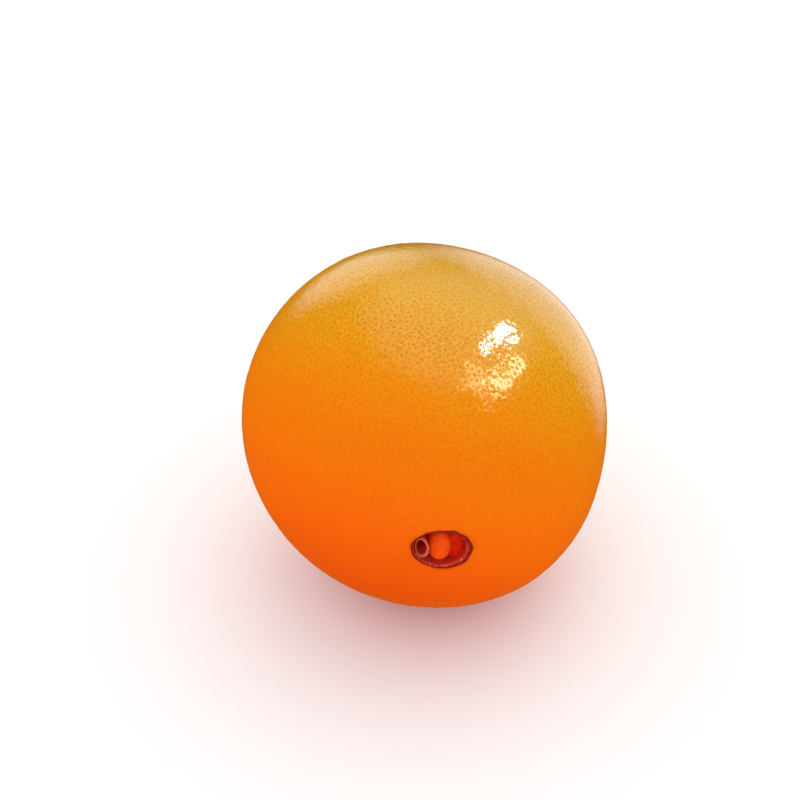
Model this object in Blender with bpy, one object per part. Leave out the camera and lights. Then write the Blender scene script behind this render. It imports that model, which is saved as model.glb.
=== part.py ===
"""A navel orange as picked: the fruit, lying on its side, and the dried calyx on its stem end.

Metres, +Z up. The fruit's core lies along Y, with the navel facing -Y and the stem end facing +Y.
The origin is on the floor under the middle of the whole orange, on the flat spot that it rests on.
"""

import cmath
import math

import bmesh
import bpy
from mathutils import Euler, Vector

# Driving dimensions, in metres
DIAMETER = 0.0800  # across the fruit, at right angles to its core
LENGTH = 0.0805  # from stem end to navel end, along its core, before either end is hollowed
REST_SPOT = 0.0140  # across the flat spot that the fruit lies on
GAP = 0.0003  # between the fruit and the calyx that sits on it

NAVEL_WIDTH = 0.0120  # the navel's opening, along its longer way
NAVEL_HEIGHT = 0.0100  # the navel's opening, across that
NAVEL_TILT = -8.0  # lean of its longer way from level, in degrees, towards -Z on the +X side
NAVEL_DEPTH = 0.0044  # from the lip to the bottom of the groove round the small inner fruit
NAVEL_FADE = 0.0130  # radius at which the navel's oval shape has faded back to round
LIP_ROUND = 0.0009  # radius of the lip's rounded edge
BUD_HEIGHT = 0.0076  # the small inner fruit, top to bottom
BUD_SUNK = 0.0007  # how far its crown stands below the lip
BUD_SHIFT = 0.0004  # how far it sits towards -X of the opening's middle

BASIN_WIDTH = 0.0220  # the hollow at the stem end
BASIN_DEPTH = 0.0018
SEAT_MARGIN = 0.0006  # flat floor of the basin, past the calyx's edge

CALYX_WIDTH = 0.0096  # tip to tip of the calyx's lobes
CALYX_THICK = 0.0011
CALYX_LOBES = 5
LOBE_NOTCH = 0.24  # how far the outline draws in between two lobes, as a share of its radius
STEM_WIDTH = 0.0036  # the cut stub of stem on the calyx
STEM_LENGTH = 0.0022

# Broad swells of a fruit that grew a little out of round: (lobes, height as a share of the radius,
# place of one crest in degrees). They run round an axis that leans up from the navel.
SWELLS = ((2, 0.0157, -40.3), (3, 0.0081, 51.1), (4, 0.0068, 34.8), (5, 0.0035, 28.9))
SWELL_LEAN = 38.0
SWELL_TURN = -4.7

# Fineness of the facets
ROUND_STEPS = 56
MERIDIAN_STEPS = 34
ARC_STEPS = 4
BUD_STEPS = 6
BASIN_STEPS = 6
CALYX_STEPS = 50
MERGE_DISTANCE = 1e-6


def clear_scene():
    for thing in list(bpy.data.objects):
        bpy.data.objects.remove(thing)


def smooth(share):
    """0 to 1 with a level start and end."""
    share = min(max(share, 0.0), 1.0)
    return share * share * (3.0 - 2.0 * share)


def material(name, colour, roughness):
    made = bpy.data.materials.new(name)
    made.use_nodes = True
    shader = made.node_tree.nodes["Principled BSDF"]
    shader.inputs["Base Color"].default_value = (*colour, 1.0)
    shader.inputs["Roughness"].default_value = roughness
    shader.inputs["Metallic"].default_value = 0.0
    made.diffuse_color = (*colour, 1.0)
    return made


def along_at(radius):
    """How far the plain ellipsoid reaches along the core at a distance from the core."""
    return LENGTH / 2 * math.sqrt(1.0 - (radius / (DIAMETER / 2)) ** 2)


def arc(centre, radius, start, end, steps):
    """Points on a circle in the (radius, along) plane, angles in degrees."""
    angles = [math.radians(start + (end - start) * i / steps) for i in range(steps + 1)]
    return [(centre[0] + radius * math.cos(a), centre[1] + radius * math.sin(a)) for a in angles]


def navel_outline():
    """From the crown of the small inner fruit, down into the groove round it and up over the lip."""
    lip = along_at(NAVEL_HEIGHT / 2 + LIP_ROUND)
    wall = NAVEL_HEIGHT / 2
    bud = BUD_HEIGHT / 2
    groove = (wall - bud) / 2
    groove_top = lip - NAVEL_DEPTH + groove
    bud_rise = lip - BUD_SUNK - groove_top
    angles = [math.radians(90 - 90 * i / BUD_STEPS) for i in range(BUD_STEPS + 1)]
    crown = [(bud * math.cos(a), groove_top + bud_rise * math.sin(a)) for a in angles]
    floor = arc((bud + groove, groove_top), groove, 180, 360, ARC_STEPS)
    slope = math.degrees(math.asin(wall / (DIAMETER / 2)))
    edge = arc((wall + LIP_ROUND, lip - LIP_ROUND), LIP_ROUND, 180, 90 - slope, ARC_STEPS)
    return crown + floor[1:] + edge


def basin_outline():
    """From the rim of the hollow at the stem end in to its flat floor."""
    rim, seat = BASIN_WIDTH / 2, CALYX_WIDTH / 2 + SEAT_MARGIN
    points = []
    for i in range(BASIN_STEPS + 1):
        share = i / BASIN_STEPS
        radius = rim + (seat - rim) * share
        points.append((radius, -along_at(radius) + BASIN_DEPTH * smooth(share)))
    return points + [(0.0, points[-1][1])]


def meridian(start, end):
    """The side of the fruit, from just outside the navel's lip to the basin's rim."""
    first = math.asin(start / (DIAMETER / 2))
    last = math.pi - math.asin(end / (DIAMETER / 2))
    angles = [first + (last - first) * i / MERIDIAN_STEPS for i in range(1, MERIDIAN_STEPS)]
    return [(DIAMETER / 2 * math.sin(a), LENGTH / 2 * math.cos(a)) for a in angles]


def shaped_navel(point):
    """Near the navel the round form is stretched along the tilted way across to the opening's width,
    and the small inner fruit is moved to its side. Both fade out with distance from the core."""
    radius = math.hypot(point.x, point.z)
    if point.y > 0.0:
        return point
    wall = NAVEL_HEIGHT / 2
    near = 1.0 - smooth((radius - wall - LIP_ROUND) / (NAVEL_FADE - wall - LIP_ROUND))
    inside = 1.0 - smooth(radius / wall)
    tilt = math.radians(NAVEL_TILT)
    longer_way = Vector((math.cos(tilt), 0.0, math.sin(tilt)))
    stretch = (NAVEL_WIDTH / NAVEL_HEIGHT - 1.0) * near
    return point + longer_way * (point.dot(longer_way) * stretch - BUD_SHIFT * inside)


def swelled(point):
    """Each point moves along its own direction from the middle by the sum of the broad swells. One
    swell is the real part of a power of the direction's place across the swells' axis."""
    turn = Euler((math.radians(-SWELL_LEAN), 0.0, math.radians(SWELL_TURN)), "XYZ").to_matrix()
    sideways, upwards = turn @ Vector((1, 0, 0)), turn @ Vector((0, 0, 1))
    direction = point.normalized()
    place = complex(direction.dot(sideways), direction.dot(upwards))
    crests = ((place * cmath.exp(-1j * math.radians(turned))) ** lobes * height
              for lobes, height, turned in SWELLS)
    return point * (1.0 + sum(crests).real)


def fruit():
    """Half an outline turned round the core, then pressed flat where it rests."""
    navel = navel_outline()
    basin = basin_outline()
    outline = navel + meridian(navel[-1][0], basin[0][0]) + basin
    mesh = bmesh.new()
    verts = [mesh.verts.new((radius, -along, 0.0)) for radius, along in outline]
    edges = [mesh.edges.new(pair) for pair in zip(verts, verts[1:])]
    bmesh.ops.spin(mesh, geom=verts + edges, cent=(0, 0, 0), axis=(0, 1, 0),
                   angle=math.tau, steps=ROUND_STEPS)
    bmesh.ops.remove_doubles(mesh, verts=mesh.verts, dist=MERGE_DISTANCE)
    for vert in mesh.verts:
        vert.co = swelled(shaped_navel(vert.co))
    press_flat(mesh)
    bmesh.ops.recalc_face_normals(mesh, faces=mesh.faces)
    return as_object(mesh, "fruit", material("orange_peel", (0.88, 0.21, 0.005), 0.38))


def press_flat(mesh):
    """Cuts the lowest cap off, as deep as makes a spot of the stated width, and closes it."""
    radius = DIAMETER / 2
    cap = radius - math.sqrt(radius ** 2 - (REST_SPOT / 2) ** 2)
    lowest = min(vert.co.z for vert in mesh.verts)
    bmesh.ops.bisect_plane(mesh, geom=mesh.verts[:] + mesh.edges[:] + mesh.faces[:],
                           plane_co=(0, 0, lowest + cap), plane_no=(0, 0, -1), clear_outer=True)
    rim = [edge for edge in mesh.edges if edge.is_boundary]
    bmesh.ops.edgeloop_fill(mesh, edges=rim)


def calyx_outline(inset, height):
    """A ring of the calyx's star: a circle drawn in between its lobes, at a height over the seat."""
    ring = []
    for i in range(CALYX_STEPS):
        angle = math.tau * i / CALYX_STEPS
        notch = LOBE_NOTCH * (1.0 - math.cos(CALYX_LOBES * angle)) / 2
        radius = (CALYX_WIDTH / 2 - inset) * (1.0 - notch)
        ring.append((radius * math.cos(angle), height, radius * math.sin(angle)))
    return ring


def stem_ring(radius, height):
    angles = [math.tau * i / CALYX_STEPS for i in range(CALYX_STEPS)]
    return [(radius * math.cos(a), height, radius * math.sin(a)) for a in angles]


def calyx():
    """The dried star of the calyx with its cut stub of stem, lofted from rings along the core."""
    seat = -basin_outline()[-1][1] + GAP
    bevel = CALYX_THICK / 3
    top = seat + CALYX_THICK
    rings = [
        calyx_outline(0.0, seat),
        calyx_outline(0.0, top - bevel),
        calyx_outline(bevel, top),
        stem_ring(STEM_WIDTH / 2 + bevel, top),
        stem_ring(STEM_WIDTH / 2, top + bevel),
        stem_ring(STEM_WIDTH / 2, top + STEM_LENGTH),
    ]
    mesh = bmesh.new()
    loops = [[mesh.verts.new(point) for point in ring] for ring in rings]
    for low, high in zip(loops, loops[1:]):
        for i in range(CALYX_STEPS):
            j = (i + 1) % CALYX_STEPS
            mesh.faces.new((low[i], low[j], high[j], high[i]))
    mesh.faces.new(loops[0])
    mesh.faces.new(loops[-1])
    for vert in mesh.verts:
        vert.co = swelled(vert.co)
    bmesh.ops.recalc_face_normals(mesh, faces=mesh.faces)
    return as_object(mesh, "calyx", material("dry_calyx", (0.20, 0.15, 0.06), 0.75))


def as_object(mesh, name, finish):
    data = bpy.data.meshes.new(name)
    mesh.to_mesh(data)
    mesh.free()
    data.materials.append(finish)
    data.shade_smooth()
    data.set_sharp_from_angle(angle=math.radians(50))
    made = bpy.data.objects.new(name, data)
    bpy.context.scene.collection.objects.link(made)
    return made


def stand_on_origin(pieces):
    """Moves every piece by one step, so that the whole orange stands on the origin's floor, with the
    middle of its footprint over it."""
    corners = [vert.co for piece in pieces for vert in piece.data.vertices]
    low = Vector(min(point[i] for point in corners) for i in range(3))
    high = Vector(max(point[i] for point in corners) for i in range(3))
    middle = (low + high) / 2
    for piece in pieces:
        piece.location = (-middle.x, -middle.y, -low.z)


clear_scene()
stand_on_origin([fruit(), calyx()])
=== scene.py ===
"""Looks of a picked navel orange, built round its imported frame.

The fruit's core lies along Y, with the navel facing -Y and the stem end facing +Y. Every piece is
a surface worked out with numpy in the frame's own place, in metres.
"""

import math

import bpy
import numpy as np
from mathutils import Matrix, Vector


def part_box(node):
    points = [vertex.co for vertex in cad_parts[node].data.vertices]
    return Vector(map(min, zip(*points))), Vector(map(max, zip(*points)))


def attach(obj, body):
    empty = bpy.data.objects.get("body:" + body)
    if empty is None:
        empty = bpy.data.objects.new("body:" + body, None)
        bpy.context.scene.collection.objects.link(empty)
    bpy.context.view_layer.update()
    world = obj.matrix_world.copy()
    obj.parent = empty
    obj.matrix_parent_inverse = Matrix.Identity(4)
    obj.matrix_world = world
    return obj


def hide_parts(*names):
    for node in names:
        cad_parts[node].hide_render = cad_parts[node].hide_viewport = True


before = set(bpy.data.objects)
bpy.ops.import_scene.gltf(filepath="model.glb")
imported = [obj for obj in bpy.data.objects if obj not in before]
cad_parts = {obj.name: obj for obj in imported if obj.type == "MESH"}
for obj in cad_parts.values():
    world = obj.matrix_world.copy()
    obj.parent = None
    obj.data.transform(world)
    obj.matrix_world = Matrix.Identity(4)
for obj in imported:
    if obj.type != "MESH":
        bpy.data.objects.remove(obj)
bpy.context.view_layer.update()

# ---------------------------------------------------------------------------------------------
# The fruit's form
# ---------------------------------------------------------------------------------------------
FRUIT_LOW, FRUIT_HIGH = (np.array(corner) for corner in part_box("fruit"))
LENGTH_SHARE = 1.00625  # length along the core, as a share of the width across it

# Broad swells: (lobes, height as a share of the radius, place of one crest in degrees), round an
# axis that leans up from the navel
SWELLS = ((2, 0.0157, -40.3), (3, 0.0081, 51.1), (4, 0.0068, 34.8), (5, 0.0035, 28.9))
SWELL_LEAN = math.radians(38.0)
SWELL_TURN = math.radians(-4.7)

MM = 0.001
SKIN_STEPS = 98  # edge divisions of each of the twenty faces that the peel's net starts from


def smooth(share):
    """0 to 1 with a level start and end: three squares less two cubes of the clipped share."""
    share = np.clip(share, 0.0, 1.0)
    return share * share * (3.0 - 2.0 * share)


def unit(vectors):
    """Each vector divided by its length."""
    return vectors / np.linalg.norm(vectors, axis=-1, keepdims=True)


def turns(steps):
    """Angles once round, evenly spaced."""
    return np.arange(steps) * math.tau / steps


def leaning_axes(lean, turn):
    """Sideways, upwards and outwards directions of an axis that leans up from the navel's direction
    by one angle and is turned round the vertical by another."""
    sideways = np.array([math.cos(turn), math.sin(turn), 0.0])
    level = math.cos(lean)
    outwards = np.array([math.sin(turn) * level, -math.cos(turn) * level, math.sin(lean)])
    return sideways, np.cross(outwards, sideways), outwards


SIDEWAYS, UPWARDS, _ = leaning_axes(SWELL_LEAN, SWELL_TURN)


def waves(points, seed, wavelength, count=24):
    """Soft random relief, mostly from -1 to 1: the mean of plane waves of about one wavelength that
    run in random directions, scaled up by the square root of half their number."""
    draw = np.random.default_rng(seed)
    heading = unit(draw.normal(size=(count, 3)))
    pitch = math.tau / (wavelength * draw.uniform(0.75, 1.35, count))
    phase = draw.uniform(0.0, math.tau, count)
    total = np.cos(points @ (heading * pitch[:, None]).T + phase).sum(axis=1)
    return total / math.sqrt(2.0 * count)


# ---------------------------------------------------------------------------------------------
# Mesh helpers
# ---------------------------------------------------------------------------------------------
def piece_from(name, points, faces, values=None):
    """A mesh object from arrays of points and faces, with one float attribute for each value."""
    mesh = bpy.data.meshes.new(name)
    sides = faces.shape[1]
    mesh.vertices.add(len(points))
    mesh.vertices.foreach_set("co", np.ascontiguousarray(points, np.float32).ravel())
    mesh.loops.add(faces.size)
    mesh.loops.foreach_set("vertex_index", np.ascontiguousarray(faces, np.int32).ravel())
    mesh.polygons.add(len(faces))
    mesh.polygons.foreach_set("loop_start", np.arange(0, faces.size, sides, dtype=np.int32))
    mesh.update(calc_edges=True)
    mesh.validate()
    mesh.shade_smooth()
    for key, value in (values or {}).items():
        layer = mesh.attributes.new(key, "FLOAT", "POINT")
        layer.data.foreach_set("value", np.ascontiguousarray(value, np.float32))
    made = bpy.data.objects.new(name, mesh)
    bpy.context.scene.collection.objects.link(made)
    return made


def geodesic_net(steps):
    """Even points on the unit sphere and the triangles between them: each of an icosahedron's faces is
    a triangular grid, whose corner shares are bent by a sine before they are pushed out to the
    sphere."""
    golden = (1.0 + math.sqrt(5.0)) / 2.0
    signs = np.array([(a, b) for a in (-1, 1) for b in (-golden, golden)], float)
    flat = np.zeros(4)
    corners = unit(np.concatenate([
        np.column_stack([flat, signs[:, 0], signs[:, 1]]),
        np.column_stack([signs[:, 0], signs[:, 1], flat]),
        np.column_stack([signs[:, 1], flat, signs[:, 0]]),
    ]))
    beside = 1.0 / math.sqrt(5.0)  # dot product of two corners that stand side by side
    span = math.acos(beside)
    near = corners @ corners.T > 0.9 * beside
    trios = [(i, j, k) for i in range(12) for j in range(i + 1, 12) for k in range(j + 1, 12)
             if near[i, j] and near[j, k] and near[i, k]]
    row, column = np.divmod(np.arange((steps + 1) ** 2), steps + 1)
    kept = row + column <= steps
    row, column = row[kept], column[kept]
    shares = np.column_stack([row, column, steps - row - column]) / steps
    bent = np.sin(shares * span)
    place = np.full((steps + 2, steps + 2), -1)
    place[row, column] = np.arange(len(row))
    here, right = place[row, column], place[row + 1, column]
    up, across = place[row, column + 1], place[row + 1, column + 1]
    first = np.column_stack([here, right, up])[row + column < steps]
    second = np.column_stack([right, across, up])[row + column < steps - 1]
    cell = np.concatenate([first, second])
    points, faces = [], []
    for number, trio in enumerate(trios):
        a, b, c = corners[list(trio)]
        outward = np.dot(np.cross(b - a, c - a), a) > 0
        points.append(unit(bent @ np.array([a, b, c])))
        faces.append((cell if outward else cell[:, ::-1]) + number * len(row))
    points, faces = np.concatenate(points), np.concatenate(faces)
    _, first_seen, joined = np.unique(np.round(points, 6) + 0.0, axis=0,
                                      return_index=True, return_inverse=True)
    return points[first_seen], joined.reshape(-1)[faces]


def neighbours_of(faces):
    """Each edge of a closed net of triangles, both ways round, as two arrays of point numbers."""
    return (np.concatenate([faces[:, 0], faces[:, 1], faces[:, 2]]),
            np.concatenate([faces[:, 1], faces[:, 2], faces[:, 0]]))


def highest_near(values, edges):
    """At each point, the highest value among itself and the points one edge away."""
    found = values.copy()
    np.maximum.at(found, edges[0], values[edges[1]])
    return found


def scattered(lots, edges, reach, allowed):
    """Marks points so that no two stand within reach steps of each other. Every point draws a lot;
    one whose lot is the highest within reach is marked, its near ones drop out, and the rest go on."""
    marked = np.zeros(len(lots), bool)
    open_ones = allowed.copy()
    while open_ones.any():
        lot = np.where(open_ones, lots, -1.0)
        best = lot
        for _ in range(reach):
            best = highest_near(best, edges)
        chosen = open_ones & (lot == best)
        marked |= chosen
        cover = chosen.astype(float)
        for _ in range(reach):
            cover = highest_near(cover, edges)
        open_ones &= cover == 0.0
    return marked


# ---------------------------------------------------------------------------------------------
# The skin's surface
# ---------------------------------------------------------------------------------------------
def swell(points):
    """Points moved along their own direction by the broad swells: each one is the real part of a
    power of the direction's place across the leaning axis."""
    direction = unit(points)
    place = direction @ SIDEWAYS + 1j * (direction @ UPWARDS)
    share = sum(height * (place * np.exp(-1j * math.radians(turned))) ** lobes
                for lobes, height, turned in SWELLS)
    return points * (1.0 + share.real)[:, None]


def bare_form(direction):
    """The ellipsoid of the fruit for a radius of one, with its swells."""
    return swell(direction * np.array([1.0, LENGTH_SHARE, 1.0]))


DIRECTIONS, TRIANGLES = geodesic_net(SKIN_STEPS)
BARE = bare_form(DIRECTIONS)
RADIUS = (FRUIT_HIGH[0] - FRUIT_LOW[0]) / np.ptp(BARE[:, 0])
HALF_LENGTH = RADIUS * LENGTH_SHARE

NAVEL_WIDTH = 11.9 * MM
NAVEL_HEIGHT = 9.9 * MM
NAVEL_TILT = math.radians(-8.0)
NAVEL_DEPTH = 4.4 * MM
LIP_ROLL = 0.45 * MM  # how far the peel rolls in at the lip
LIP_REACH = 0.16  # how far out the roll fades, as a share of the opening

BASIN_RIM = 11.0 * MM
BASIN_FLOOR = 5.4 * MM
BASIN_DEPTH = 1.8 * MM
FURROWS = 11
FURROW_DEPTH = 0.22 * MM

PEEL_SEED = 7
PORE_DEPTH = 0.095 * MM
PORE_SHOULDER = 0.22  # how far a pit draws down the skin next to it, as a share of its depth
SMALL_PORE = 0.7  # depth of the small pores, as a share of the large ones'
NO_PORES_WITHIN = 1.15  # how far out from the navel the first pores are, as a share of its opening
CALM_REACH = 16.0 * MM  # how far out from the navel's lip the pores come to their full depth
LIP_SHADE_REACH = 0.07  # how far out the painted shade round the navel's lip fades, as a share of the opening


def lip_radius(angle):
    """Distance of the navel's lip from the core: a tilted ellipse, fuller at one end, with a little
    waviness."""
    turned = angle - NAVEL_TILT
    across, up = np.cos(turned) / (NAVEL_WIDTH / 2), np.sin(turned) / (NAVEL_HEIGHT / 2)
    oval = 1.0 / np.hypot(across, up)
    egg = 1.0 + 0.030 * np.cos(turned) - 0.020 * np.cos(3 * turned)
    frayed = 1.0 + 0.010 * np.sin(7 * angle + 0.6) + 0.008 * np.sin(11 * angle + 2.1)
    return oval * egg * frayed


def along_at(radius):
    """How far the plain ellipsoid reaches along the core at a distance from the core."""
    return HALF_LENGTH * np.sqrt(1.0 - np.clip(radius / RADIUS, 0.0, 0.999) ** 2)


def core_middle():
    """The core's middle: the bare form is laid in the frame's box, level with it at the sides, at the
    top, and at the rim of the stem's basin."""
    angle = turns(360)
    rim = np.column_stack([BASIN_RIM * np.cos(angle), along_at(BASIN_RIM) + 0.0 * angle,
                           BASIN_RIM * np.sin(angle)])
    return np.array([
        (FRUIT_LOW[0] + FRUIT_HIGH[0]) / 2 - RADIUS * (BARE[:, 0].min() + BARE[:, 0].max()) / 2,
        FRUIT_HIGH[1] - swell(rim)[:, 1].max(),
        FRUIT_HIGH[2] - RADIUS * BARE[:, 2].max(),
    ])


MIDDLE = core_middle()


def lip_roll(opening):
    """How far the skin has rolled in: an exponential fall with distance out from the lip."""
    return LIP_ROLL * np.exp(-np.maximum(opening - 1.0, 0.0) / LIP_REACH)


def hollowed(points):
    """The ellipsoid with its two ends worked: at the stem end a shallow basin with furrows that run
    in to the calyx, at the navel end a lip that rolls in and drops to a pocket."""
    x, y, z = points.T
    radius, angle = np.hypot(x, z), np.arctan2(z, x)
    share = (BASIN_RIM - radius) / (BASIN_RIM - BASIN_FLOOR)
    furrow = (0.5 + 0.5 * np.cos(FURROWS * angle + 0.9 * np.sin(2 * angle + 0.4))) ** 3
    fade = smooth((radius - 5.0 * MM) / (2.0 * MM)) * (1.0 - smooth((radius - 7.0 * MM) / (9.0 * MM)))
    basin = BASIN_DEPTH * smooth(share) + FURROW_DEPTH * furrow * fade
    far_end = np.where(radius < BASIN_FLOOR, along_at(BASIN_FLOOR) - BASIN_DEPTH, y - basin)
    opening = radius / lip_radius(angle)
    drop = (NAVEL_DEPTH + 1.4 * MM) * smooth((0.99 - opening) / 0.15)
    return np.column_stack([x, np.where(y > 0.0, far_end, y + lip_roll(opening) + drop), z])


def placed(points):
    """From the core's own middle to the frame, pressed flat where the fruit rests."""
    points = swell(points) + MIDDLE
    points[:, 2] = np.maximum(points[:, 2], 0.0)
    return points


def peel():
    """The whole skin: the worked ellipsoid, with a soft unevenness from two sets of waves, and moved
    in at every pore by the pore's own depth. A dark red painted shade falls off exponentially from the
    navel's lip."""
    points = hollowed(DIRECTIONS * np.array([RADIUS, HALF_LENGTH, RADIUS]))
    edges = neighbours_of(TRIANGLES)
    draw = np.random.default_rng(PEEL_SEED)
    radius = np.hypot(points[:, 0], points[:, 2])
    angle = np.arctan2(points[:, 2], points[:, 0])
    lip = lip_radius(angle)
    at_navel = points[:, 1] < 0.0
    bare = np.where(at_navel, radius < NO_PORES_WITHIN * lip, radius < BASIN_FLOOR)
    lots = draw.uniform(size=len(points))
    large = scattered(lots, edges, 2, ~bare)
    near_large = highest_near(large.astype(float), edges) > 0.0
    small = scattered(lots, edges, 1, ~bare & ~near_large)
    depth = np.where(large, draw.uniform(0.65, 1.0, len(points)),
                     SMALL_PORE * draw.uniform(0.4, 1.0, len(points)))
    pore = np.where(large | small, depth, 0.0)
    sunk = np.maximum(pore, PORE_SHOULDER * highest_near(pore, edges))
    uneven = (0.030 * MM * waves(points, seed=11, wavelength=9 * MM)
              + 0.024 * MM * waves(points, seed=12, wavelength=2.6 * MM))
    calm = 0.35 + 0.65 * smooth((radius - lip) / CALM_REACH)
    calm = np.where(at_navel, calm, 1.0)
    points = points + DIRECTIONS * (uneven - PORE_DEPTH * sunk * calm)[:, None]
    opening = radius / lip
    ragged = 0.6 + 0.4 * np.sin(5 * angle + 1.7) * np.sin(8 * angle)
    # painted shade round the navel's lip, falling off away from the opening
    lip_shade = np.exp(-np.maximum(opening - 1.0, 0.0) / LIP_SHADE_REACH) * ragged
    values = {"pore": pore * calm, "lip_shade": np.where(at_navel, lip_shade, 0.0)}
    return piece_from("peel", placed(points), TRIANGLES, values)


# ---------------------------------------------------------------------------------------------
# Surfaces made of rings
# ---------------------------------------------------------------------------------------------
def ringed(rings):
    """Points and triangles of a closed surface from an array (ring, step, xyz) that winds round the
    core: each pair of rings is joined, and the first and last rings each close on a pole."""
    count, steps = rings.shape[:2]
    body = rings.reshape(-1, 3)
    poles = np.array([rings[0].mean(axis=0), rings[-1].mean(axis=0)])
    first, last = len(body), len(body) + 1
    step = np.arange(steps)
    after = (step + 1) % steps
    row = np.arange(count - 1)[:, None] * steps
    a, b = (row + step).ravel(), (row + after).ravel()
    c, d = a + steps, b + steps
    last_row = (count - 1) * steps
    start = np.column_stack([np.full(steps, first), step, after])
    end = np.column_stack([np.full(steps, last), last_row + after, last_row + step])
    faces = np.concatenate([start, np.column_stack([a, c, b]), np.column_stack([b, c, d]), end])
    return np.concatenate([body, poles]), faces


def with_poles(values):
    """A value for every point of a ringed surface, its two poles included."""
    return np.append(values.ravel(), [values[0].mean(), values[-1].mean()])


def outward(points, faces):
    """The faces, wound so that the closed surface's volume is positive."""
    a, b, c = (points[faces[:, i]] for i in range(3))
    return faces if np.einsum("ij,ij->i", a, np.cross(b, c)).sum() > 0.0 else faces[:, ::-1]


def ringed_piece(name, rings, values):
    """A closed piece from its rings round the core, with a value for every point of them."""
    points, faces = ringed(rings)
    points = placed(points)
    centred = points - points.mean(axis=0)
    return piece_from(name, points, outward(centred, faces),
                      {key: with_poles(value) for key, value in values.items()})


# ---------------------------------------------------------------------------------------------
# The navel
# ---------------------------------------------------------------------------------------------
CUP_STEPS = 256
FACE_SHARES = np.concatenate([  # the cup's rings, by their share of the way out to the lip
    np.linspace(0.02, 0.57, 20),  # floor
    np.linspace(0.60, 0.77, 18),  # foot of the wall
    np.linspace(0.78, 1.085, 60),  # wall and rim
])
UNDER_SHARES = np.linspace(1.07, 0.02, 24)  # the rings that close it from below
CUP_WALL = 0.30 * MM  # thickness of the cup's shell under its floor
SHELF_SHARE = 0.09  # how much further in the broad side's wall starts, as a share of the lip's radius
BULGE = {"x": -0.20 * MM, "z": -0.45 * MM, "half_width": 2.50 * MM, "half_height": 4.00 * MM}
BULGE_SUNK = 0.75 * MM
LOBE_POWER = 2.3  # a dome's front view is a superellipse of this power, a little squarer than an oval
DOME_POWER = 3.2  # its side view is one of this power, flatter on top than a circle
SIDE_LOBE = {"x": 2.9 * MM, "z": -1.1 * MM, "half_width": 2.4 * MM, "half_height": 4.1 * MM}
SIDE_LOBE_SUNK = 2.0 * MM
POCKET = {"x": -3.90 * MM, "z": 0.35 * MM, "half_width": 1.08 * MM, "half_height": 2.20 * MM}
POCKET_SUNK = 0.65 * MM
POCKET_STEPS = 160


def behind_lip(x, z, depth):
    """Points at a depth behind the ellipsoid's own surface at the navel end."""
    return np.stack([x, depth - along_at(np.hypot(x, z)), z], axis=-1)


def shelf(angle):
    """The navel's +X side, where the rim is broad: 1 in its middle, fading to 0 round the lip."""
    return smooth(0.5 + 0.9 * np.cos(angle - 0.1))


def wall_top(angle):
    """Where the cup's wall starts, as a share of the way out to the lip."""
    return 0.975 - SHELF_SHARE * shelf(angle)


def cup_depth(opening, angle):
    """Depth of the cup's face, by its share of the way out to the lip. A wall falls in a smooth step
    to the floor, with pleats down it. A thin ragged crest stands on the lip, and the rim dives under
    the skin outside it."""
    pleat = np.sin(17 * angle + 1.3 * np.sin(3 * angle)) + 0.6 * np.sin(29 * angle + 0.7)
    edge = wall_top(angle)
    wall = smooth((edge - opening) / 0.21)
    on_wall = smooth((edge + 0.015 - opening) / 0.06) * smooth((opening - 0.62) / 0.16)
    ragged = 1.0 + 0.35 * np.sin(9 * angle + 1.1) + 0.3 * np.sin(23 * angle + 0.4)
    crest = 0.13 * MM * ragged * np.exp(-((opening - 1.005) / 0.020) ** 2)
    inner_crest = (0.10 * MM * (1.0 + 0.5 * np.sin(31 * angle))
                   * np.exp(-((opening - edge + 0.04) / 0.014) ** 2))
    dive = 0.5 * MM * smooth((opening - 1.025) / 0.05)
    return (lip_roll(opening) + NAVEL_DEPTH * wall - crest - inner_crest + dive
            + 0.10 * MM * pleat * on_wall)


def navel_cup():
    """The scarred rim, wall and floor of the navel: rings of the lip's outline, shrunk step by step,
    on the cup's depth, with a second set of rings under them that closes the shell. The scar and the
    pale dots of pith are bell curves across the lip and across the top of the wall."""
    angle = turns(CUP_STEPS)[None, :]
    face, under = (shares[:, None] + 0.0 * angle for shares in (FACE_SHARES, UNDER_SHARES))
    under_depth = cup_depth(under, angle) + CUP_WALL + 0.3 * MM * smooth((under - 0.9) / 0.1)
    opening = np.concatenate([face, under])
    depth = np.concatenate([cup_depth(face, angle), under_depth])
    radius = opening * lip_radius(angle)
    rings = behind_lip(radius * np.cos(angle), radius * np.sin(angle), depth)
    edge = wall_top(angle)
    scar = np.exp(-((opening - 1.0 - 0.008 * np.sin(13 * angle)) / 0.034) ** 2)
    on_shelf = smooth((opening - edge + 0.01) / 0.03) * smooth((1.02 - opening) / 0.03)
    scar = np.maximum(scar, 0.75 * shelf(angle) * on_shelf * (0.8 + 0.2 * np.sin(19 * angle)))
    low_right = 0.45 + 0.55 * smooth(0.5 + 0.8 * np.cos(angle + 0.9))
    dots = 0.5 + 0.5 * np.sin(37 * angle + 3.0 * np.sin(5 * angle))
    dots = dots * (0.6 + 0.4 * np.sin(9 * angle + 1.0))
    pith_line = edge - 0.025 + 0.006 * np.sin(17 * angle)
    pith = np.exp(-((opening - pith_line) / 0.014) ** 2) * low_right * dots
    # painted shade: the rind darkens in a smooth step towards the cup's floor
    depth_shade = smooth((0.90 - opening) / 0.22)
    return ringed_piece("navel_cup", rings, {"scar": scar, "pith": pith, "depth_shade": depth_shade})


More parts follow.
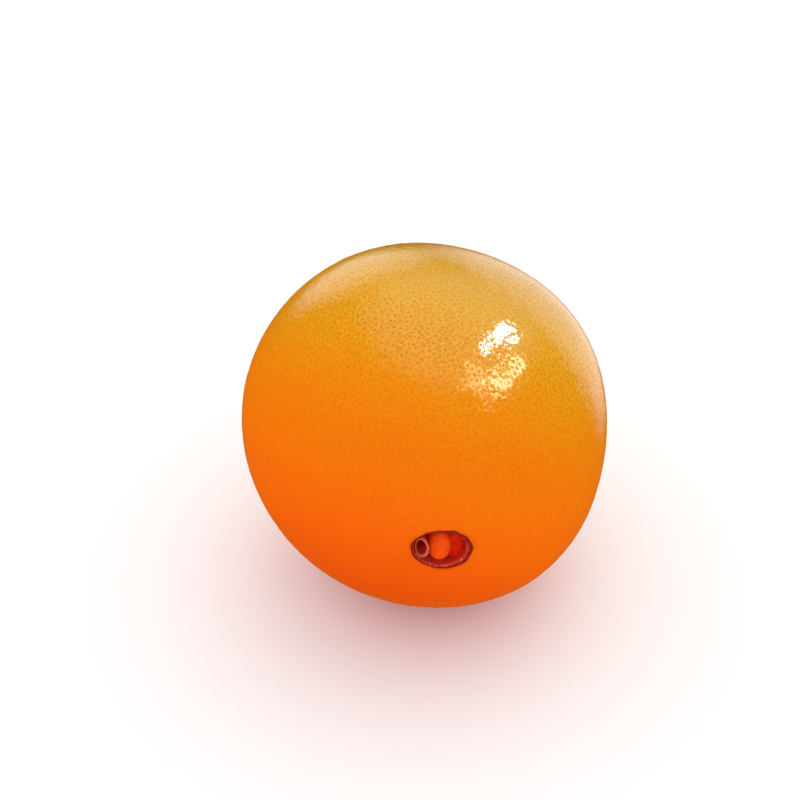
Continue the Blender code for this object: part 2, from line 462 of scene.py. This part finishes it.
def lobe_rings(lobe, crown, rows=48, steps=144):
    """Rings of a closed dome: one superellipse seen from the front, another from the side, from its
    crown to a flat back behind the cup's floor."""
    floor = NAVEL_DEPTH + 0.35 * MM
    angle = turns(steps)[None, :]
    rise = np.linspace(0.03, 0.5 * math.pi, rows)[:, None]
    across, up = np.cos(angle), np.sin(angle)
    outline = (np.abs(across) ** LOBE_POWER + np.abs(up) ** LOBE_POWER) ** (-1.0 / LOBE_POWER)
    out = np.sin(rise)
    drop = 1.0 - (1.0 - out ** DOME_POWER) ** (1.0 / DOME_POWER)
    x = lobe["x"] + lobe["half_width"] * outline * out * across
    z = lobe["z"] + lobe["half_height"] * outline * out * up
    depth = crown + (floor - crown) * drop + 0.0 * x
    back = np.linspace(1.0, 0.05, 8)[:, None]
    back_x = lobe["x"] + (x[-1] - lobe["x"]) * back
    back_z = lobe["z"] + (z[-1] - lobe["z"]) * back
    back_depth = floor + 0.25 * MM * np.ones_like(back_x)
    pairs = ((x, back_x), (z, back_z), (depth, back_depth))
    return [np.concatenate(pair) for pair in pairs]


def inner_fruit(name, lobe, crown, seed):
    """One swelling of the small second fruit: a dome with soft lumps and fine creases, which are
    waves of two lengths across it."""
    x, z, depth = lobe_rings(lobe, crown)
    flat = np.column_stack([x.ravel(), z.ravel(), np.zeros(x.size)])
    lumps = 0.16 * MM * waves(flat, seed, 3.0 * MM) + 0.045 * MM * waves(flat, seed + 1, 0.9 * MM)
    depth = depth + lumps.reshape(depth.shape)
    paler = np.clip(0.5 + 0.5 * waves(flat, seed + 2, 2.2 * MM), 0.0, 1.0).reshape(depth.shape)
    # painted shade: the share of the darker colour grows as the dome drops away into the cup
    low = smooth((depth - crown) / (2.4 * MM))
    return ringed_piece(name, behind_lip(x, z, depth), {"paler": paler, "low": low})


def split_pocket():
    """The split beside the inner fruit: an oval funnel that narrows in a smooth step as it goes in,
    with a pale edge rolled over in half a circle of ragged thickness, closed by a wall round the
    outside and a bottom. Its rings go out over the bottom, up, over the edge, down and back in."""
    angle = turns(POCKET_STEPS)[None, :]
    ragged = 1.0 + 0.03 * np.sin(5 * angle + 1.0) + 0.02 * np.sin(11 * angle)
    teeth = 1.0 + 0.20 * np.sin(13 * angle) + 0.14 * np.sin(29 * angle)
    thick = 0.11 * MM * (1.0 + 0.45 * np.cos(angle)) * teeth
    sunk = POCKET_SUNK - 0.30 * MM * np.cos(angle) + 0.12 * MM * np.sin(4 * angle)
    bottom, back = NAVEL_DEPTH - 0.3 * MM, NAVEL_DEPTH
    out = np.linspace(0.03, 0.58, 8)[:, None]
    up = np.linspace(1.0, 0.0, 24)[:, None]
    over = np.linspace(0.0, math.pi, 11)[:, None]
    down = np.linspace(0.0, 1.0, 14)[:, None]
    inward = np.linspace(1.0, 0.03, 8)[:, None]
    folds = 1.0 + 0.05 * up * np.sin(8 * angle + 2.0 * up)
    funnel = (1.0 - 0.40 * smooth(up)) * folds
    stretches = (  # rows, share of the way out, stand-off, depth, paleness of the edge, painted shade towards the bottom
        (out, out, 0.0, bottom, 0.0, 1.0),
        (up, funnel, 0.0, sunk + (bottom - sunk) * up, smooth(1.0 - up / 0.22), up),
        (over, 1.0, thick * (1.0 - np.cos(over)), sunk - 1.3 * thick * np.sin(over), 1.0, 0.0),
        (down, 1.0, 2.0 * thick, sunk + (back - sunk) * down, smooth(1.0 - down / 0.3), down),
        (inward, inward, 2.0 * thick * inward, back, 0.0, 1.0),
    )
    share, proud, depth, edge, depth_shade = (
        np.concatenate([np.broadcast_to(stretch[i], (len(stretch[0]), POCKET_STEPS))
                        for stretch in stretches])
        for i in range(1, 6))
    x = POCKET["x"] + (POCKET["half_width"] * share * ragged + proud) * np.cos(angle)
    z = POCKET["z"] + (POCKET["half_height"] * share * ragged + proud) * np.sin(angle)
    pale = edge * (0.72 + 0.28 * np.sin(31 * angle + 2.0 * np.sin(7 * angle)))
    return ringed_piece("split_pocket", behind_lip(x, z, depth), {"pith": pale, "depth_shade": depth_shade})


# ---------------------------------------------------------------------------------------------
# The stem end
# ---------------------------------------------------------------------------------------------
CALYX_LOBES = 5
CALYX_RADIUS = 4.8 * MM
LOBE_NOTCH = 0.26
CALYX_THICK = 0.85 * MM
STUB_RADIUS = 1.75 * MM
STUB_LENGTH = 3.2 * MM
CALYX_STEPS = 240
STUB_FOOT = 0.42  # where the star's top turns up into the stub, as a share of the star's radius


def calyx_star():
    """The dried star and its stub of stem in one closed surface. Rings go out along the underside,
    round the edge, in over the top, up the stub and across its cut end. The star's outline is a
    circle drawn in between the lobes; its lobes curl up in a smooth step, and waves round them are
    ribs, bark and chipped wood."""
    angle = turns(CALYX_STEPS)[None, :]
    lobed = 0.5 - 0.5 * np.cos(CALYX_LOBES * angle)
    uneven = (1.0 + 0.05 * np.sin(angle + 0.8) + 0.035 * np.sin(7 * angle + 2.0)
              + 0.012 * np.sin(31 * angle))
    outline = 0.95 * CALYX_RADIUS * (1.0 - LOBE_NOTCH * lobed ** 0.8) * uneven
    seat = along_at(BASIN_FLOOR) - BASIN_DEPTH + 0.05 * MM
    tip = 1.0 - lobed

    def star_top(share):
        """Height of the star's top, by its share of the way out to the outline."""
        ribs = (0.10 * np.cos(CALYX_LOBES * 3 * angle) + 0.07 * np.cos(34 * angle + 5 * share)) * MM
        curl = 0.45 * MM * tip * smooth((share - 0.55) / 0.45) * (1.0 + 0.5 * np.sin(2 * angle + 1.0))
        dome = CALYX_THICK * (1.0 - 0.55 * smooth((share - 0.35) / 0.65))
        return seat + dome + curl + ribs * smooth((share - 0.38) / 0.2) * (1.0 - 0.5 * share)

    under = np.linspace(0.04, 0.985, 16)[:, None]
    under_level = star_top(under) - 0.30 * MM - 0.30 * MM * (1.0 - under)
    edge = np.array([1.0, 1.008, 1.0])[:, None]
    edge_level = star_top(1.0) - np.array([0.24, 0.14, 0.04])[:, None] * MM
    over = np.linspace(0.985, STUB_FOOT, 30)[:, None]
    foot = np.linspace(0.0, 1.0, 34)[1:, None]
    bark = (1.0 + 0.035 * np.sin(9 * angle + 1.0) + 0.02 * np.sin(23 * angle + 3 * foot)
            + 0.02 * np.sin(40 * foot + 2 * np.sin(3 * angle)))
    flare = 1.0 + 0.35 * (1.0 - smooth(foot / 0.35)) + 0.10 * smooth((foot - 0.8) / 0.2)
    stub = STUB_RADIUS * flare * bark
    stub_end = seat + STUB_LENGTH
    foot_level = star_top(STUB_FOOT) * (1.0 - foot) + stub_end * foot
    in_to = np.linspace(0.94, 0.06, 14)[:, None]
    ring_mark = 0.07 * MM * np.cos(14 * in_to) - 0.18 * MM * (1.0 - in_to ** 2)
    chips = 0.06 * MM * np.sin(6 * angle + 7 * in_to) * in_to
    star = np.concatenate([under, edge, over])
    radius = np.concatenate([outline * star, stub, stub[-1:] * in_to])
    level = np.concatenate([under_level, edge_level, star_top(over), foot_level,
                            stub_end + ring_mark + chips])
    rings = np.stack([radius * np.cos(angle), level, radius * np.sin(angle)], axis=-1)
    dry = np.zeros(radius.shape)
    dry[:len(star)] = star * (0.4 + 0.6 * tip)
    cut = np.zeros(radius.shape)
    cut[-len(in_to):] = 1.0 - 0.35 * in_to ** 6
    return ringed_piece("calyx_star", rings, {"dry": dry, "cut": cut})


# ---------------------------------------------------------------------------------------------
# Materials
# ---------------------------------------------------------------------------------------------
def shader_tree(name):
    """A new material with its node tree and the shader in it."""
    made = bpy.data.materials.new(name)
    made.use_nodes = True
    tree = made.node_tree
    return made, tree, tree.nodes["Principled BSDF"]


def add(tree, kind, inputs=None, **settings):
    """A node with its settings and inputs: an input is a value, or the output that feeds it."""
    node = tree.nodes.new(kind)
    for key, value in settings.items():
        setattr(node, key, value)
    for key, value in (inputs or {}).items():
        if isinstance(value, bpy.types.NodeSocket):
            tree.links.new(value, node.inputs[key])
        else:
            node.inputs[key].default_value = value
    return node


def ramp(tree, fac, stops):
    """A colour that runs in straight lines through stops, each a place from 0 to 1 and a colour."""
    node = add(tree, "ShaderNodeValToRGB", {"Fac": fac})
    elements = node.color_ramp.elements
    while len(elements) < len(stops):
        elements.new(0.5)
    for element, (place, colour) in zip(elements, stops):
        element.position = place
        element.color = (*colour, 1.0)
    return node.outputs["Color"]


def attribute(tree, name):
    """A value that the mesh carries at its points."""
    return add(tree, "ShaderNodeAttribute", attribute_name=name).outputs["Fac"]


def noise(tree, place, scale, detail=2.0, roughness=0.5):
    """Cloudy noise from 0 to 1, of a scale to one radius of the fruit."""
    inputs = {"Vector": place, "Scale": scale, "Detail": detail, "Roughness": roughness}
    return add(tree, "ShaderNodeTexNoise", inputs).outputs["Fac"]


def ranged(tree, value, low, high, to_low, to_high):
    """A value moved in a straight line from one range to another, and clipped to its ends."""
    inputs = {"Value": value, "From Min": low, "From Max": high, "To Min": to_low, "To Max": to_high}
    return add(tree, "ShaderNodeMapRange", inputs).outputs["Result"]


def worked_out(tree, how, *values):
    """A sum, product or the like of values, each a number or a socket."""
    return add(tree, "ShaderNodeMath", dict(enumerate(values)), operation=how).outputs[0]


def roughened(tree, shader, height, strength, distance):
    """Fine relief in the shading alone, from a height; gives the normal that it makes."""
    inputs = {"Height": height, "Strength": strength, "Distance": distance}
    normal = add(tree, "ShaderNodeBump", inputs).outputs["Normal"]
    tree.links.new(normal, shader.inputs["Normal"])
    return normal


def blended(tree, share, first, second, how="MIX"):
    """The second colour laid over the first by a share; either may be a colour or a socket."""
    inputs = {"Factor": share}
    for key, colour in (("A", first), ("B", second)):
        inputs[key] = colour if isinstance(colour, bpy.types.NodeSocket) else (*colour, 1.0)
    return add(tree, "ShaderNodeMix", inputs, data_type="RGBA", blend_type=how).outputs["Result"]


def fruit_place(tree):
    """Object coordinates from the core's middle, with the fruit's radius as one."""
    place = add(tree, "ShaderNodeTexCoord").outputs["Object"]
    return add(tree, "ShaderNodeMapping", {"Vector": place, "Location": tuple(-MIDDLE / RADIUS),
                                           "Scale": (1 / RADIUS,) * 3}).outputs["Vector"]


TONE_AND_SHEEN_AXIS = 0.26 * SIDEWAYS + 0.965 * UPWARDS  # towards the peel's palest side, the upper one: partly its own yellower tone, partly a painted sheen
PEEL_TONE_AND_LIGHT_STOPS = (  # the peel's colour, from the opposite side to the palest: its own tone, with painted shade at the dark end and a painted whitish sheen at the pale end
    (0.00, (0.78, 0.055, 0.0007)),
    (0.11, (0.84, 0.090, 0.0007)),
    (0.22, (0.88, 0.125, 0.0007)),
    (0.34, (0.86, 0.158, 0.0007)),
    (0.46, (0.84, 0.190, 0.0008)),
    (0.56, (0.82, 0.238, 0.0015)),
    (0.68, (0.76, 0.312, 0.0045)),
    (0.80, (0.72, 0.362, 0.0190)),
    (0.95, (0.61, 0.325, 0.0280)),
)
SPECK_AND_PIT_SHADE_STOPS = (  # how strongly the peel's real specks and the painted shade in its pits show, along the same way: strongest on the upper side, under the painted sheen
    (0.28, 0.14),
    (0.43, 0.30),
    (0.56, 0.50),
    (0.64, 0.68),
    (0.71, 0.88),
    (0.82, 0.54),
    (0.90, 0.38),
)


def peel_finish():
    """Waxy orange peel: the colour deepens from a paler side to the opposite one, with blotches; the
    pale upper side holds a painted sheen and the far side painted shade, over the peel's own tone.
    Every pit has less wax and a darker spot of painted shade, and there are fine specks between them."""
    made, tree, shader = shader_tree("orange_peel")
    place = fruit_place(tree)
    along = add(tree, "ShaderNodeVectorMath", {0: place, 1: tuple(TONE_AND_SHEEN_AXIS)},
                operation="DOT_PRODUCT").outputs["Value"]
    blotch = ranged(tree, noise(tree, place, 2.6, 4.0, 0.55), 0.0, 1.0, -0.09, 0.09)
    tone_and_light = ranged(tree, worked_out(tree, "ADD", along, blotch), -1.0, 1.0, 0.0, 1.0)
    # the colour along this way is the peel's tone with a painted sheen on the upper side and painted
    # shade on the lower
    base = ramp(tree, tone_and_light, PEEL_TONE_AND_LIGHT_STOPS)
    speck_and_pit_shade = ramp(tree, tone_and_light, [(stop, (share,) * 3) for stop, share in SPECK_AND_PIT_SHADE_STOPS])
    pore = attribute(tree, "pore")
    speck = ranged(tree, noise(tree, place, 62.0, 3.0, 0.6), 0.3, 0.7, 0.80, 1.14)
    grained = blended(tree, speck_and_pit_shade, base, speck, "MULTIPLY")
    # painted shade in the pits: a darker colour (0.74, 0.34, 0.25) multiplied in by each pore's depth
    pit_shade = worked_out(tree, "MULTIPLY", pore, speck_and_pit_shade)
    pit_shaded = blended(tree, pit_shade, grained, (0.74, 0.34, 0.25), "MULTIPLY")
    # painted shade round the navel's lip: a dark red (0.42, 0.018, 0.001) laid over the peel
    lip_shade = ranged(tree, attribute(tree, "lip_shade"), 0.0, 1.0, 0.0, 0.95)
    lip_shaded = blended(tree, lip_shade, pit_shaded, (0.42, 0.018, 0.001))
    tree.links.new(lip_shaded, shader.inputs["Base Color"])
    shader.inputs["Roughness"].default_value = 0.45
    shader.inputs["Specular IOR Level"].default_value = 0.0
    tree.links.new(ranged(tree, pore, 0.0, 0.8, 1.0, 0.20), shader.inputs["Coat Weight"])
    shader.inputs["Coat Roughness"].default_value = 0.10
    cells = add(tree, "ShaderNodeTexVoronoi", {"Vector": place, "Scale": 46.0, "Randomness": 1.0},
                feature="SMOOTH_F1").outputs["Distance"]
    relief = worked_out(tree, "MULTIPLY_ADD", noise(tree, place, 95.0), 0.5, cells)
    normal = roughened(tree, shader, relief, 0.6, 0.03 * MM)
    tree.links.new(normal, shader.inputs["Coat Normal"])
    return made


def navel_finish():
    """Dried rim and raw inner rind: maroon scar at the lip, pinkish wall, darker red depths that are
    painted shade, pale pith.
    """
    made, tree, shader = shader_tree("navel_rind")
    place = fruit_place(tree)
    mottle = ranged(tree, noise(tree, place, 34.0, 3.0, 0.6), 0.3, 0.7, 0.70, 1.20)
    # the wall's colour darkens to a deeper red with the depth shade: painted shade
    wall = blended(tree, attribute(tree, "depth_shade"), (0.52, 0.026, 0.011), (0.52, 0.007, 0.001))
    mottled = blended(tree, 1.0, wall, mottle, "MULTIPLY")
    scarred = blended(tree, attribute(tree, "scar"), mottled, (0.15, 0.006, 0.001))
    pithy = blended(tree, attribute(tree, "pith"), scarred, (0.76, 0.22, 0.12))
    tree.links.new(pithy, shader.inputs["Base Color"])
    roughness = ranged(tree, attribute(tree, "scar"), 0.0, 1.0, 0.42, 0.75)
    tree.links.new(roughness, shader.inputs["Roughness"])
    shader.inputs["Specular IOR Level"].default_value = 0.04
    roughened(tree, shader, noise(tree, place, 120.0, 3.0), 0.7, 0.05 * MM)
    return made


def inner_finish(name, high, low):
    """Skin of the small second fruit: one colour on its crown, and a darker one where it drops away,
    which is painted shade.
    """
    made, tree, shader = shader_tree(name)
    place = fruit_place(tree)
    body = blended(tree, attribute(tree, "low"), high, low)
    mottle = ranged(tree, attribute(tree, "paler"), 0.0, 1.0, 0.88, 1.12)
    tree.links.new(blended(tree, 1.0, body, mottle, "MULTIPLY"), shader.inputs["Base Color"])
    shader.inputs["Roughness"].default_value = 0.42
    shader.inputs["Specular IOR Level"].default_value = 0.0
    shader.inputs["Coat Weight"].default_value = 0.4
    shader.inputs["Coat Roughness"].default_value = 0.15
    roughened(tree, shader, noise(tree, place, 90.0, 3.0), 0.5, 0.04 * MM)
    return made


CALYX_STOPS = (  # the star's colour, from its middle to its driest tips
    (0.05, (0.13, 0.145, 0.035)),
    (0.45, (0.17, 0.125, 0.045)),
    (0.75, (0.115, 0.065, 0.028)),
    (1.00, (0.060, 0.034, 0.018)),
)


def calyx_finish():
    """Dry calyx: olive green at the middle, brown and grey-brown towards the lobes' tips, with a pale
    fibrous end where the stem was cut."""
    made, tree, shader = shader_tree("dry_calyx")
    place = fruit_place(tree)
    patches = ranged(tree, noise(tree, place, 30.0, 4.0, 0.6), 0.3, 0.7, -0.25, 0.25)
    dry = worked_out(tree, "ADD", patches, attribute(tree, "dry"))
    star = ramp(tree, dry, CALYX_STOPS)
    fibres = ranged(tree, noise(tree, place, 110.0, 4.0, 0.7), 0.3, 0.7, 0.65, 1.25)
    fibrous = blended(tree, 1.0, star, fibres, "MULTIPLY")
    grain = ranged(tree, noise(tree, place, 120.0, 3.0, 0.6), 0.38, 0.62, 0.0, 1.0)
    wood = blended(tree, grain, (0.25, 0.17, 0.075), (0.50, 0.41, 0.23))
    ended = blended(tree, attribute(tree, "cut"), fibrous, wood)
    tree.links.new(ended, shader.inputs["Base Color"])
    shader.inputs["Roughness"].default_value = 0.78
    roughened(tree, shader, noise(tree, place, 85.0, 5.0, 0.7), 0.8, 0.10 * MM)
    return made


def finish_piece(piece, finish, slot, *nodes):
    """Gives a piece its finish and body, and hides the nodes that it takes the place of. Its slot is
    not used.
    """
    piece.data.materials.append(finish)
    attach(piece, "root")
    if nodes:
        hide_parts(*nodes)


# ---------------------------------------------------------------------------------------------
# Stage
# ---------------------------------------------------------------------------------------------
FLOOR_HALF = 3.0
FLOOR_CELLS = 8


def floor():
    """A wide pale floor: a square grid of cells in the ground plane."""
    side = np.linspace(-FLOOR_HALF, FLOOR_HALF, FLOOR_CELLS + 1)
    x, y = (axis.ravel() for axis in np.meshgrid(side, side))
    points = np.column_stack([x, y, np.zeros_like(x)])
    row = FLOOR_CELLS + 1
    cell = np.arange(FLOOR_CELLS)
    here = (cell[:, None] * row + cell).ravel()
    made = piece_from("floor", points, np.column_stack([here, here + 1, here + row + 1, here + row]))
    finish, _, shader = shader_tree("pale_floor")
    shader.inputs["Base Color"].default_value = (0.9, 0.9, 0.9, 1.0)
    shader.inputs["Roughness"].default_value = 0.8
    shader.inputs["Specular IOR Level"].default_value = 0.0
    made.data.materials.append(finish)
    made.visible_glossy = False


def glow_from(tree, colour, strength):
    """Ends a material's tree in a plain glow of a colour and a strength."""
    light = add(tree, "ShaderNodeEmission", {"Color": colour, "Strength": strength})
    add(tree, "ShaderNodeOutputMaterial", {"Surface": light.outputs[0]})


PANE_DISTANCE = 2.0
WHITE, CREAM = (1.0, 1.0, 1.0, 1.0), (1.0, 1.0, 0.58, 1.0)
PANES = (  # name, strength, colour, corners as (azimuth from +Y towards +X, elevation) in degrees
    ("high_pane", 48.0, WHITE,
     ((61, 47.5), (60, 40), (66, 38), (69, 39), (75.5, 48), (85, 55), (96, 58.2), (94, 59.8))),
    ("low_pane_right", 17.0, CREAM,
     ((96, 49), (89, 43), (85, 36), (91, 36), (99, 37), (101, 42), (100, 46))),
    ("low_pane_middle", 17.0, CREAM,
     ((118, 51), (107, 49), (106, 43), (104, 38), (113, 39), (119, 41), (124, 45))),
    ("low_pane_left", 6.5, CREAM,
     ((116, 64), (112, 60), (119, 53), (124, 53), (129, 47), (131, 40), (135, 43), (134, 51),
      (142, 60), (130, 61))),
)


def pane(name, strength, colour, corners):
    """A bright window pane that only reflections see: a flat polygon at a distance, with each corner
    where its direction from the fruit's middle meets the pane's plane."""
    turn, rise = np.radians(np.array(corners, float)).T
    toward = np.column_stack([np.sin(turn) * np.cos(rise), np.cos(turn) * np.cos(rise), np.sin(rise)])
    middle = unit(toward.mean(axis=0))
    points = MIDDLE + toward * (PANE_DISTANCE / (toward @ middle))[:, None]
    mesh = bpy.data.meshes.new(name)
    mesh.from_pydata(points.tolist(), [], [tuple(range(len(points)))])
    made = bpy.data.objects.new(name, mesh)
    bpy.context.scene.collection.objects.link(made)
    glow, tree, _ = shader_tree(name)
    tree.nodes.clear()
    glow_from(tree, colour, strength)
    mesh.materials.append(glow)
    made.visible_camera = False
    made.visible_diffuse = False
    made.visible_shadow = False


FILL = 1.13  # radiance of the even light that falls on every surface
ROOM = 0.01  # radiance of the dark room that reflections see
SKY_RADIUS = 4.5
SKY_STEPS = 8
SKY_LOBES = (  # what reflections see: direction, dot products where it starts and is full, radiance
    ((0.25, 0.25, 0.93), 0.62, 0.88, (0.93, 0.93, 0.93)),
    ((0.60, 0.80, -0.02), 0.82, 0.95, (1.30, 1.30, 1.30)),
    ((-0.24, 0.94, 0.24), 0.90, 0.99, (1.35, 1.35, 1.35)),
    ((-0.25, -0.15, -0.95), -0.10, 0.50, (0.66, 0.15, 0.005)),
)


def sky():
    """A white dome round the stage. Surfaces get even light from it. Reflections see a dark room in
    it, with one soft bright lobe overhead, two behind, and a warm one below, where light comes back
    from the fruit's own foot. A lobe grows in a smooth step with the dot product to its direction."""
    points, faces = geodesic_net(SKY_STEPS)
    made = piece_from("sky_dome", points * SKY_RADIUS, faces[:, ::-1])
    glow, tree, _ = shader_tree("sky_glow")
    tree.nodes.clear()
    toward = add(tree, "ShaderNodeVectorMath", {0: add(tree, "ShaderNodeTexCoord").outputs["Object"]},
                 operation="NORMALIZE").outputs["Vector"]
    total = (ROOM, ROOM, ROOM)
    for direction, start, full, radiance in SKY_LOBES:
        along = add(tree, "ShaderNodeVectorMath", {0: toward, 1: tuple(unit(np.array(direction)))},
                    operation="DOT_PRODUCT").outputs["Value"]
        lobe = add(tree, "ShaderNodeMapRange", {"Value": along, "From Min": start, "From Max": full},
                   interpolation_type="SMOOTHSTEP").outputs["Result"]
        total = add(tree, "ShaderNodeVectorMath", {0: radiance, 1: lobe, 2: total},
                    operation="MULTIPLY_ADD").outputs["Vector"]
    path = add(tree, "ShaderNodeLightPath").outputs["Is Glossy Ray"]
    glow_from(tree, blended(tree, path, (FILL, FILL, FILL), total), 1.0)
    glow.cycles.emission_sampling = "NONE"
    made.data.materials.append(glow)


def aimed(made, place, target):
    """Stands a camera or a light at a place, turned to a target."""
    made.location = place
    made.rotation_euler = Vector(target - place).to_track_quat("-Z", "Y").to_euler()
    bpy.context.scene.collection.objects.link(made)


KEY_SIZE = 1.4
KEY_ENERGY = 2.6
KEY_OFFSET = np.array([0.2, 0.5, 1.65])  # from the fruit's middle


def key_light():
    """One wide soft light from above and behind, which gives the fruit a soft shadow in front."""
    data = bpy.data.lights.new("key", "AREA")
    data.shape = "DISK"
    data.size = KEY_SIZE
    data.energy = KEY_ENERGY
    made = bpy.data.objects.new("key", data)
    aimed(made, MIDDLE + KEY_OFFSET, MIDDLE)
    made.visible_camera = False
    made.visible_glossy = False


VIEW_LEAN = math.radians(38.7)
VIEW_TURN = math.radians(-4.9)
VIEW_DISTANCE = 0.29326
AIM_ASIDE, AIM_ABOVE = 5.42 * MM, 5.44 * MM  # from the fruit's middle to where the camera looks


def camera():
    """A camera that looks down on the fruit from in front, with the fruit right of and below the
    frame's middle."""
    middle = (FRUIT_LOW + FRUIT_HIGH) / 2
    sideways, upwards, outwards = leaning_axes(VIEW_LEAN, VIEW_TURN)
    data = bpy.data.cameras.new("camera")
    data.lens, data.sensor_width = 60.0, 36.0
    data.clip_start = 0.01
    made = bpy.data.objects.new("camera", data)
    target = middle - sideways * AIM_ASIDE + upwards * AIM_ABOVE
    aimed(made, middle + outwards * VIEW_DISTANCE, target)
    bpy.context.scene.camera = made


navel_rind = navel_finish()
finish_piece(peel(), peel_finish(), "peel", "fruit")
finish_piece(navel_cup(), navel_rind, "peel")
finish_piece(split_pocket(), navel_rind, "peel")
# the second, darker colour, where the inner fruit drops away, is painted shade
inner_skin = inner_finish("inner_skin", (0.86, 0.072, 0.002), (0.74, 0.030, 0.001))
finish_piece(inner_fruit("inner_fruit", BULGE, BULGE_SUNK, seed=21), inner_skin, "peel")
# the side lobe's skin is a darker copy of the inner fruit's skin: painted shade for the gap it sits in
shaded_side_skin = inner_finish("inner_side_skin", (0.62, 0.011, 0.001), (0.44, 0.005, 0.001))
finish_piece(inner_fruit("inner_side_lobe", SIDE_LOBE, SIDE_LOBE_SUNK, seed=31), shaded_side_skin, "peel")
finish_piece(calyx_star(), calyx_finish(), "dry_calyx", "calyx")
floor()
sky()
key_light()
for name, strength, colour, corners in PANES:
    pane(name, strength, colour, corners)
camera()
bpy.context.scene.view_settings.view_transform = "Standard"
